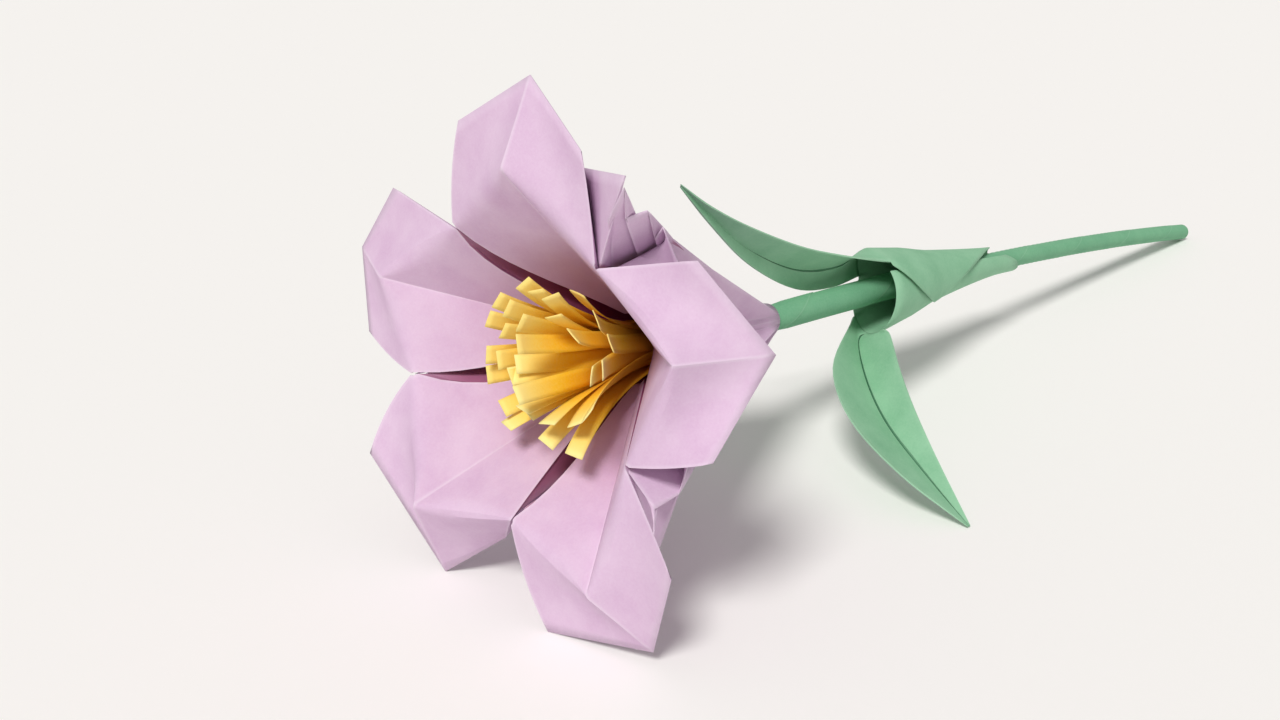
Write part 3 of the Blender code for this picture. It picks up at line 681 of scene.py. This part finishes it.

    # painted highlight on the tips, carried in the fold mark, and painted shade on the roots
    to_tip = number("DIVIDE", number("SUBTRACT", up_strip, TIP_LIGHT_FROM), 1.0 - TIP_LIGHT_FROM)
    to_tip = number("MAXIMUM", to_tip, 0.0)
    to_root = number("MAXIMUM", number("SUBTRACT", 1.0, number("DIVIDE", up_strip, SHADED_UP_TO)), 0.0)
    painted_tip_light = number("MULTIPLY", number("MULTIPLY", to_tip, to_tip), read("painted_tip_light"))
    strips = stored(realized(place.outputs["Instances"]), "fold", painted_tip_light)
    strips = stored(strips, "painted_shade", number("MULTIPLY", to_root, SHADED_ROOT))
    move = nodes.new("GeometryNodeSetPosition")
    links.new(strips, move.inputs["Geometry"])
    links.new(bent, move.inputs["Position"])
    coat = nodes.new("GeometryNodeSetMaterial")
    links.new(realized(move.outputs["Geometry"]), coat.inputs["Geometry"])
    links.new(given["Paper"], coat.inputs["Material"])
    links.new(coat.outputs["Geometry"], result.inputs["Fringe"])
    return tree


# the fourth colour is the painted shade on the strips' roots, a deep orange; the pale one also takes the
# painted tip highlight
stamen_paper = craft_paper(
    "yellow_craft_paper",
    (0.98, 0.62, 0.014), (0.96, 0.53, 0.01), (0.98, 0.87, 0.34), (0.62, 0.16, 0.002), 0.75)
roots_mesh = bpy.data.meshes.new("strip_roots")
roots_mesh.from_pydata([(0.0, 0.0, 0.0)] * len(STRIPS), [], [])
strip_table = np.array(STRIPS, dtype=float)
# a strip turns from its place on the roll to its heading by the shorter way round
strip_table[:, 0] = strip_table[:, 1] + (strip_table[:, 0] - strip_table[:, 1] + 180.0) % 360.0 - 180.0
for name, values, unit in zip(STRIP_COLUMN_NAMES, strip_table.T, STRIP_COLUMN_UNITS):
    mark_points(roots_mesh, name, values * unit)
# strips heading towards the window get more painted highlight on their tips
lit_from, lit_to = LIT_SIDE_HEADINGS
on_lit_side = (strip_table[:, 1] > lit_from) & (strip_table[:, 1] < lit_to)
mark_points(roots_mesh, "painted_tip_light", np.where(on_lit_side, LIT_SIDE_TIP_LIGHT, TIP_LIGHT))
mark_points(roots_mesh, "cup", [STRIP_CUP * MM * math.sin(CUP_BEAT * i) for i in range(len(STRIPS))])
roots = add_object("strip_roots", roots_mesh)
fringe_maker = roots.modifiers.new("cut_fringe", "NODES")
fringe_maker.node_group = fringe_tree()
sockets = {
    item.name: item.identifier
    for item in fringe_maker.node_group.interface.items_tree
    if item.in_out == "INPUT"
}
fringe_maker[sockets["Strip Width"]] = STRIP_WIDTH * MM
fringe_maker[sockets["Fringe Top"]] = FRINGE_TOP * MM
fringe_maker[sockets["Junction"]] = tuple(float(c) * MM for c in JUNCTION)
for name, direction in (("Axis", AXIS), ("Up", UP), ("Side", SIDE)):
    fringe_maker[sockets[name]] = tuple(float(c) for c in direction)
fringe_maker[sockets["Paper"]] = stamen_paper
strips_mesh = finished_mesh(roots)
bpy.data.objects.remove(roots)
strips_mesh.name = "cut_strips"
strips_mesh.polygons.foreach_set("use_smooth", [True] * len(strips_mesh.polygons))
cut_strips = add_object("cut_strips", strips_mesh)
add_paper(cut_strips, STRIP_PAPER)
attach(cut_strips, "root")
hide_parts("stamen_fringe")

# the uncut edge, wound round the stem as a spiral
ROLL_INSIDE_GAP = 0.45
ROLL_PITCH = 0.42
ROLL_TOP = 40.5
ROLL_TURNS = 5.0
ROLL_STEPS = 40
ROLL_PAPER = 0.15
roll_columns = int(ROLL_TURNS * ROLL_STEPS) + 1
roll_heights = (FRINGE_BOTTOM, (FRINGE_BOTTOM + ROLL_TOP) / 2, ROLL_TOP)
roll_points = []
for i in range(roll_columns):
    turn = i / ROLL_STEPS
    radius = NECK_RADIUS + ROLL_INSIDE_GAP + ROLL_PITCH * turn
    roll_points += [on_flower(radius, 0, height, turn * 360.0) for height in roll_heights]
fringe_roll = add_object("fringe_roll", paper_mesh(
    "fringe_roll", roll_points, faces_between(roll_columns, len(roll_heights)),
    [0.0] * len(roll_points), stamen_paper, SMOOTH_BELOW))
add_paper(fringe_roll, ROLL_PAPER)
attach(fringe_roll, "root")
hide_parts("stamen_fringe")


# Stem: one sheet of green craft paper rolled a little askew into a thin tube, so it is thickest
# just behind the flower and its free edge winds slowly round it. It is glued, and bows slightly.
STEM_LENGTH = 228.5
STEM_INSIDE = 42.0
STEM_RADIUS = 2.6
STEM_WALL = 0.8
STEM_BOW = 3.0
COLLAR_LENGTH = 52.0
COLLAR_RADIUS = 3.3
COLLAR_RISE = 6.0
COLLAR_FALL = 10.0
# the sheet's free edge: its step down, in full as far as it shows and less past that, its way round
SEAM_STEP = 0.16
SEAM_FULL_TO = 60.0
SEAM_PAST_THAT = 0.35
SEAM_PITCH = 34.0
SEAM_START = 200.0
SEAM_OPENING = 0.04
SEAM_RUB = 0.8
STEM_SIDES = 48
STEM_SMOOTH_BELOW = 35.0
# where the rings of points stand: inside the head, close together near it, and along the rest
STEM_RINGS = ((-STEM_INSIDE, 0, 8), (1.5, 70, 60), (75, STEM_LENGTH, 60))


def stem_centre(along):
    share = max(0.0, along / STEM_LENGTH)
    return JUNCTION - along * AXIS + UP * STEM_BOW * arch(share)


def stem_radius(along):
    if along <= 0:
        return NECK_RADIUS
    if along < COLLAR_LENGTH:
        return lerp(NECK_RADIUS, COLLAR_RADIUS, min(1.0, along / COLLAR_RISE))
    return lerp(COLLAR_RADIUS, STEM_RADIUS, min(1.0, (along - COLLAR_LENGTH) / COLLAR_FALL))


stations = np.concatenate([np.linspace(*ring) for ring in STEM_RINGS])
stem_points = []
stem_folds = []
for is_outside, order in ((True, stations), (False, stations[::-1])):
    for along in order:
        seam = math.radians(SEAM_START) + 2 * math.pi * along / SEAM_PITCH
        step = SEAM_STEP * (1.0 if along < SEAM_FULL_TO else SEAM_PAST_THAT) if is_outside else 0.0
        face_radius = stem_radius(along) - (0.0 if is_outside else STEM_WALL)
        for j in range(STEM_SIDES):
            turn = seam + 2 * math.pi * j / (STEM_SIDES - 1 + SEAM_OPENING)
            radius = face_radius - step * j / (STEM_SIDES - 1)
            out = math.cos(turn) * UP + math.sin(turn) * SIDE
            stem_points.append(stem_centre(along) + radius * out)
            stem_folds.append(SEAM_RUB if j == 0 and is_outside else 0.0)
stem_paper = craft_paper(
    "stem_craft_paper",
    (0.18, 0.45, 0.26), (0.14, 0.39, 0.22), (0.40, 0.62, 0.44), (0.05, 0.22, 0.11), 0.7)
stem_faces = faces_between(2 * len(stations), STEM_SIDES, lines_meet=True, points_meet=True)
rolled_stem = add_object("rolled_stem", paper_mesh(
    "rolled_stem", stem_points, stem_faces, stem_folds, stem_paper, STEM_SMOOTH_BELOW))
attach(rolled_stem, "root")
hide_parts("stem")


# Leaves: one strip of green craft paper with both long edges folded in to meet at the middle,
# wound round the stem as a cone, its two pointed ends spread out as leaves.
LEAF_PAPER = 0.2
LEAF_SMOOTH_BELOW = 40.0
WRAP_OFF_STEM = 0.65
WRAP_TIGHT_END = 107.0
WRAP_TIGHT_LENGTH = 8.0
WRAP_FLARE = 6.0
WRAP_FLARE_LENGTH = 61.0
WRAP_FLARE_POWER = 1.3
WRAP_LAYER_STEP = 0.9
WRAP_STEP = 6.0
WRAP_ROWS = 14
# the wound strip's two edges: degrees about the stem, then the far and the near edge along it
WRAP_EDGES = (
    (118, 61.0, 57.5), (80, 74.0, 46.5), (39, 86.0, 36.5), (0, 95.0, 38.0), (-40, 99.0, 42.0),
    (-90, 102.0, 48.0), (-150, 105.0, 42.0), (-190, 107.0, 38.0), (-237, 107.0, 34.5),
    (-277, 105.0, 35.0), (-315, 100.0, 35.5),
)
# Ribs across each leaf from its root outwards: one long edge, the middle crease, the other edge,
# and last the tip, each along the stem, across it and above it. A root is the part of the wrap,
# in degrees, that runs on into the leaf.
UPPER_LEAF = (
    ((21.7, -2.0, 13.0), (29.0, 3.5, 8.5), (32.7, 7.0, 2.0)),
    ((7.3, -1.0, 16.2), (14.7, 5.0, 8.8), (15.6, 5.5, 4.0)),
    ((-11.0, -1.0, 22.1), (-4.6, 4.0, 15.6), (-5.3, 3.0, 12.6)),
    ((-23.9, -1.0, 27.3), (-20.6, 1.5, 24.3), (-22.0, 0.5, 23.0)),
    (-32.8, 0.0, 31.9),
)
LOWER_LEAF = (
    ((34.3, -10.5, -5.9), (34.4, -2.0, -10.7), (35.1, 1.5, -6.6)),
    ((28.7, -18.0, -11.5), (27.0, -11.0, -17.0), (16.3, -8.0, -11.8)),
    ((24.4, -26.0, -18.1), (21.5, -21.5, -23.0), (7.9, -20.0, -19.0)),
    ((19.7, -37.0, -26.6), (17.0, -35.5, -29.0), (7.0, -35.0, -26.6)),
    (13.4, -49.5, -34.8),
)
UPPER_ROOT = (34.0, -86.0)
LOWER_ROOT = (-146.0, -230.0)
ROOT_ALONG = 40.0
LEAF_TIP_WIDTH = 0.8
LEAF_STEPS = 6
# the edges folded in: how high they lie on the leaf, how wide the slit between them opens, and in
# how many rows both come and go at the root and the tip
FLAP_LIFT = 0.21
LEAST_LIFT = 0.02
LIFT_ROWS = 3.0
SLIT_WIDTH = 1.3
SLIT_ROOT_ROWS = 4.0
SLIT_TIP_ROWS = 3.0
LEAST_FLAP = 0.15
FLAP_BREAK = 0.7
FLAP_EDGE_LIFT = 0.08
# how much paler edges and folds are drawn: rubbed paper with painted highlight
WRAP_EDGE_RUB_AND_HIGHLIGHT = 0.35
LEAF_EDGE_RUB_AND_HIGHLIGHT = 0.8
FLAP_FOLD_RUB_AND_HIGHLIGHT = 0.5
SLIT_EDGE_RUB_AND_HIGHLIGHT = 0.7


def beside_stem(along, across, above_stem):
    return JUNCTION - along * AXIS + across * SIDE + above_stem * UP


def smooth_through(points, steps):
    points = np.array(points, float)
    padded = np.vstack([2 * points[0] - points[1], points, 2 * points[-1] - points[-2]])
    curve = []
    for i in range(len(points) - 1):
        p0, p1, p2, p3 = padded[i:i + 4]
        for step in range(steps):
            t = step / steps
            curve.append(0.5 * (2 * p1 + (p2 - p0) * t + (2 * p0 - 5 * p1 + 4 * p2 - p3) * t ** 2
                                + (3 * p1 - p0 - 3 * p2 + p3) * t ** 3))
    curve.append(points[-1])
    return np.array(curve)


def wrap_point(angle, along):
    turns_inside = (angle - WRAP_EDGES[-1][0]) / 360.0
    flared = max(0.0, (WRAP_TIGHT_END - WRAP_TIGHT_LENGTH - along) / WRAP_FLARE_LENGTH)
    radius = (stem_radius(along) + WRAP_OFF_STEM + WRAP_FLARE * flared ** WRAP_FLARE_POWER
              + WRAP_LAYER_STEP * turns_inside)
    turn = math.radians(angle)
    return stem_centre(along) + radius * (math.cos(turn) * UP - math.sin(turn) * SIDE)


leaf_points = []
leaf_folds = []
leaf_painted_shades = []
leaf_faces = []


def leaf_add(point, fold=0.0, painted_shade=0.0):
    leaf_points.append(point)
    leaf_folds.append(fold)
    leaf_painted_shades.append(painted_shade)
    return len(leaf_points) - 1


first_angle, last_angle = WRAP_EDGES[0][0], WRAP_EDGES[-1][0]
wrap_steps = int(round((first_angle - last_angle) / WRAP_STEP))
wrap_angles = np.linspace(first_angle, last_angle, wrap_steps + 1)
edge_table = np.array(WRAP_EDGES)[::-1]
far_edge = np.interp(wrap_angles, edge_table[:, 0], edge_table[:, 1])
near_edge = np.interp(wrap_angles, edge_table[:, 0], edge_table[:, 2])
wrap_rows = []
for row in range(WRAP_ROWS + 1):
    paler_mark = WRAP_EDGE_RUB_AND_HIGHLIGHT if row in (0, WRAP_ROWS) else 0.0
    wrap_rows.append([leaf_add(wrap_point(angle, lerp(far, near, row / WRAP_ROWS)), paler_mark)
                      for angle, far, near in zip(wrap_angles, far_edge, near_edge)])
for low_row, high_row in zip(wrap_rows[:-1], wrap_rows[1:]):
    for i in range(len(wrap_angles) - 1):
        leaf_faces.append((low_row[i], low_row[i + 1], high_row[i + 1], high_row[i]))

for ribs, (start, end) in ((UPPER_LEAF, UPPER_ROOT), (LOWER_LEAF, LOWER_ROOT)):
    lowest, highest = end - WRAP_STEP / 2, start + WRAP_STEP / 2
    root = [i for i, angle in enumerate(wrap_angles) if lowest <= angle <= highest]
    middle = (len(root) - 1) // 2
    spread = beside_stem(*ribs[-2][2]) - beside_stem(*ribs[-2][0])
    spread /= np.linalg.norm(spread)
    curves = []
    for number, i in enumerate(root):
        across = number / (len(root) - 1)
        if ribs is LOWER_LEAF:
            across = 1 - across
        along_leaf = [leaf_points[wrap_rows[-2][i]], leaf_points[wrap_rows[-1][i]]]
        for rib in ribs[:-1]:
            one_edge, crease, other_edge = [beside_stem(*place) for place in rib]
            if across < 0.5:
                along_leaf.append(lerp(one_edge, crease, across * 2))
            else:
                along_leaf.append(lerp(crease, other_edge, across * 2 - 1))
        along_leaf.append(beside_stem(*ribs[-1]) + spread * (across - 0.5) * LEAF_TIP_WIDTH)
        curves.append(smooth_through(along_leaf, LEAF_STEPS)[LEAF_STEPS:])
    surface = np.array(curves)
    base_rows = [[wrap_rows[-1][i] for i in root]]
    for row in range(1, surface.shape[1]):
        current = []
        for c in range(len(root)):
            paler_mark = LEAF_EDGE_RUB_AND_HIGHLIGHT if c in (0, len(root) - 1) else 0.0
            # painted shade down the leaf's middle line, in the slit
            current.append(leaf_add(surface[c, row], paler_mark, 1.0 if c == middle else 0.0))
        below = base_rows[-1]
        for i in range(len(root) - 1):
            leaf_faces.append((below[i], below[i + 1], current[i + 1], current[i]))
        base_rows.append(current)
    # the folded-in edges lie on the inner face and meet along a slit down the middle
    normals = np.cross(np.gradient(surface, axis=0), np.gradient(surface, axis=1))
    normals /= np.linalg.norm(normals, axis=2)[:, :, None] + 1e-9
    if normals[middle, 0] @ (stem_centre(ROOT_ALONG) - surface[middle, 0]) < 0:
        normals = -normals
    last_row = surface.shape[1] - 1
    for hand in (-1, 1):
        flap = list(range(middle)) if hand < 0 else list(range(len(root) - 1, middle, -1))
        previous = None
        for row in range(last_row + 1):
            lift = FLAP_LIFT * min(1.0, (last_row - row) / LIFT_ROWS) + LEAST_LIFT
            beside, centre_line = surface[flap[-1], row], surface[middle, row]
            over = normals[flap[-1], row]
            opened = min(1.0, row / SLIT_ROOT_ROWS) * min(1.0, (last_row - row) / SLIT_TIP_ROWS)
            room = max(np.linalg.norm(centre_line - beside), 0.01)
            edge = lerp(beside, centre_line, max(LEAST_FLAP, 1.0 - opened * SLIT_WIDTH / 2 / room))
            current = [base_rows[row][flap[0]]]
            for c in flap:
                paler_mark = FLAP_FOLD_RUB_AND_HIGHLIGHT if c == flap[0] else 0.0
                current.append(leaf_add(surface[c, row] + normals[c, row] * lift, paler_mark))
            current.append(leaf_add(lerp(beside, edge, FLAP_BREAK) + over * lift))
            current.append(leaf_add(edge + over * lift, SLIT_EDGE_RUB_AND_HIGHLIGHT))
            # the flap's edge turned down into the slit carries painted shade
            current.append(leaf_add(edge + over * FLAP_EDGE_LIFT, 0.0, 1.0))
            if previous is not None:
                for i in range(len(current) - 1):
                    face = (previous[i], previous[i + 1], current[i + 1], current[i])
                    leaf_faces.append(face if hand > 0 else face[::-1])
            previous = current
# the fourth colour is the painted shade, a dark green, down the slit between the folded-in edges
leaf_paper = craft_paper(
    "leaf_craft_paper",
    (0.28, 0.55, 0.35), (0.21, 0.47, 0.28), (0.45, 0.68, 0.50), (0.03, 0.15, 0.07), 0.72)
folded_leaves = add_object("folded_leaves", paper_mesh(
    "folded_leaves", leaf_points, leaf_faces, leaf_folds, leaf_paper, LEAF_SMOOTH_BELOW))
add_paper(folded_leaves, LEAF_PAPER)
mark_points(folded_leaves.data, "painted_shade", leaf_painted_shades)
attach(folded_leaves, "root")
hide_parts("leaf_pair")


# Table: a wide sheet of pale board that the flower lies on, under soft daylight from a window up
# on the left. Past its edge the eye meets a wall of much the same pale colour.
TABLE_HALF = 30.0
BOARD_COLOUR = (0.955, 0.94, 0.925, 1.0)
WALL_COLOUR = (0.90, 0.885, 0.865, 1.0)
ROOM_COLOUR = (1.0, 0.99, 0.98, 1.0)
ROOM_STRENGTH = 0.38
WINDOW_COLOUR = (1.0, 0.985, 0.96)
WINDOW_STRENGTH = 2.3
WINDOW_WIDTH = math.radians(16)
WINDOW_FROM = Vector((-0.7, -0.35, 1.0))

table_corners = [(x * TABLE_HALF, y * TABLE_HALF, 0) for x, y in ((-1, -1), (1, -1), (1, 1), (-1, 1))]
table_mesh = bpy.data.meshes.new("table")
table_mesh.from_pydata(table_corners, [], [(0, 1, 2, 3)])
board = bpy.data.materials.new("pale_board")
board.use_nodes = True
board_shader = board.node_tree.nodes["Principled BSDF"]
board_shader.inputs["Base Color"].default_value = BOARD_COLOUR
board_shader.inputs["Roughness"].default_value = 0.9
board_shader.inputs["Specular IOR Level"].default_value = 0.1
table_mesh.materials.append(board)
table = add_object("table", table_mesh)

window_data = bpy.data.lights.new("window", "SUN")
window_data.energy = WINDOW_STRENGTH
window_data.angle = WINDOW_WIDTH
window_data.color = WINDOW_COLOUR
window = add_object("window", window_data)
window.matrix_world = WINDOW_FROM.to_track_quat("Z", "Y").to_matrix().to_4x4()

world = bpy.data.worlds.new("room")
bpy.context.scene.world = world
world.use_nodes = True
room_nodes, room_links = world.node_tree.nodes, world.node_tree.links
room = room_nodes["Background"]
room.inputs["Color"].default_value = ROOM_COLOUR
room.inputs["Strength"].default_value = ROOM_STRENGTH
seen_wall = room_nodes.new("ShaderNodeBackground")
seen_wall.inputs["Color"].default_value = WALL_COLOUR
seen_wall.inputs["Strength"].default_value = 1.0
ray = room_nodes.new("ShaderNodeLightPath")
seen = ray.outputs["Is Camera Ray"]
for kind in ("Is Glossy Ray", "Is Transmission Ray"):
    either = room_nodes.new("ShaderNodeMath")
    either.operation = "MAXIMUM"
    room_links.new(seen, either.inputs[0])
    room_links.new(ray.outputs[kind], either.inputs[1])
    seen = either.outputs["Value"]
wall_or_light = room_nodes.new("ShaderNodeMixShader")
room_links.new(seen, wall_or_light.inputs["Fac"])
room_links.new(room.outputs["Background"], wall_or_light.inputs[1])
room_links.new(seen_wall.outputs["Background"], wall_or_light.inputs[2])
room_links.new(wall_or_light.outputs["Shader"], room_nodes["World Output"].inputs["Surface"])


# Camera: it stands where the photograph was taken from, low in front of the flower's mouth and a
# little to its side, and sees the whole flower.
CAMERA_FROM_JUNCTION = (-201.89, -164.78, 103.86)
CAMERA_AZIMUTH = math.radians(-44.5)
CAMERA_ELEVATION = math.radians(23.56)
CAMERA_ROLL = math.radians(-1.33)
FOCAL_PIXELS = 1255.0
PHOTO_WIDTH = 1280.0
SENSOR_WIDTH = 36.0

camera_data = bpy.data.cameras.new("camera")
camera_data.sensor_width = SENSOR_WIDTH
camera_data.lens = FOCAL_PIXELS / PHOTO_WIDTH * SENSOR_WIDTH
camera_data.clip_start = 0.01
camera_data.clip_end = 200.0
backwards = Vector((
    math.sin(CAMERA_AZIMUTH) * math.cos(CAMERA_ELEVATION),
    -math.cos(CAMERA_AZIMUTH) * math.cos(CAMERA_ELEVATION),
    math.sin(CAMERA_ELEVATION),
))
level = Vector((math.cos(CAMERA_AZIMUTH), math.sin(CAMERA_AZIMUTH), 0.0))
upright = backwards.cross(level)
rightwards = math.cos(CAMERA_ROLL) * level + math.sin(CAMERA_ROLL) * upright
upwards = math.cos(CAMERA_ROLL) * upright - math.sin(CAMERA_ROLL) * level
placement = Matrix((rightwards, upwards, backwards)).transposed().to_4x4()
placement.translation = Vector((JUNCTION + np.array(CAMERA_FROM_JUNCTION)) * MM)
camera = add_object("camera", camera_data)
camera.matrix_world = placement
bpy.context.scene.camera = camera
bpy.context.scene.view_settings.view_transform = "Standard"
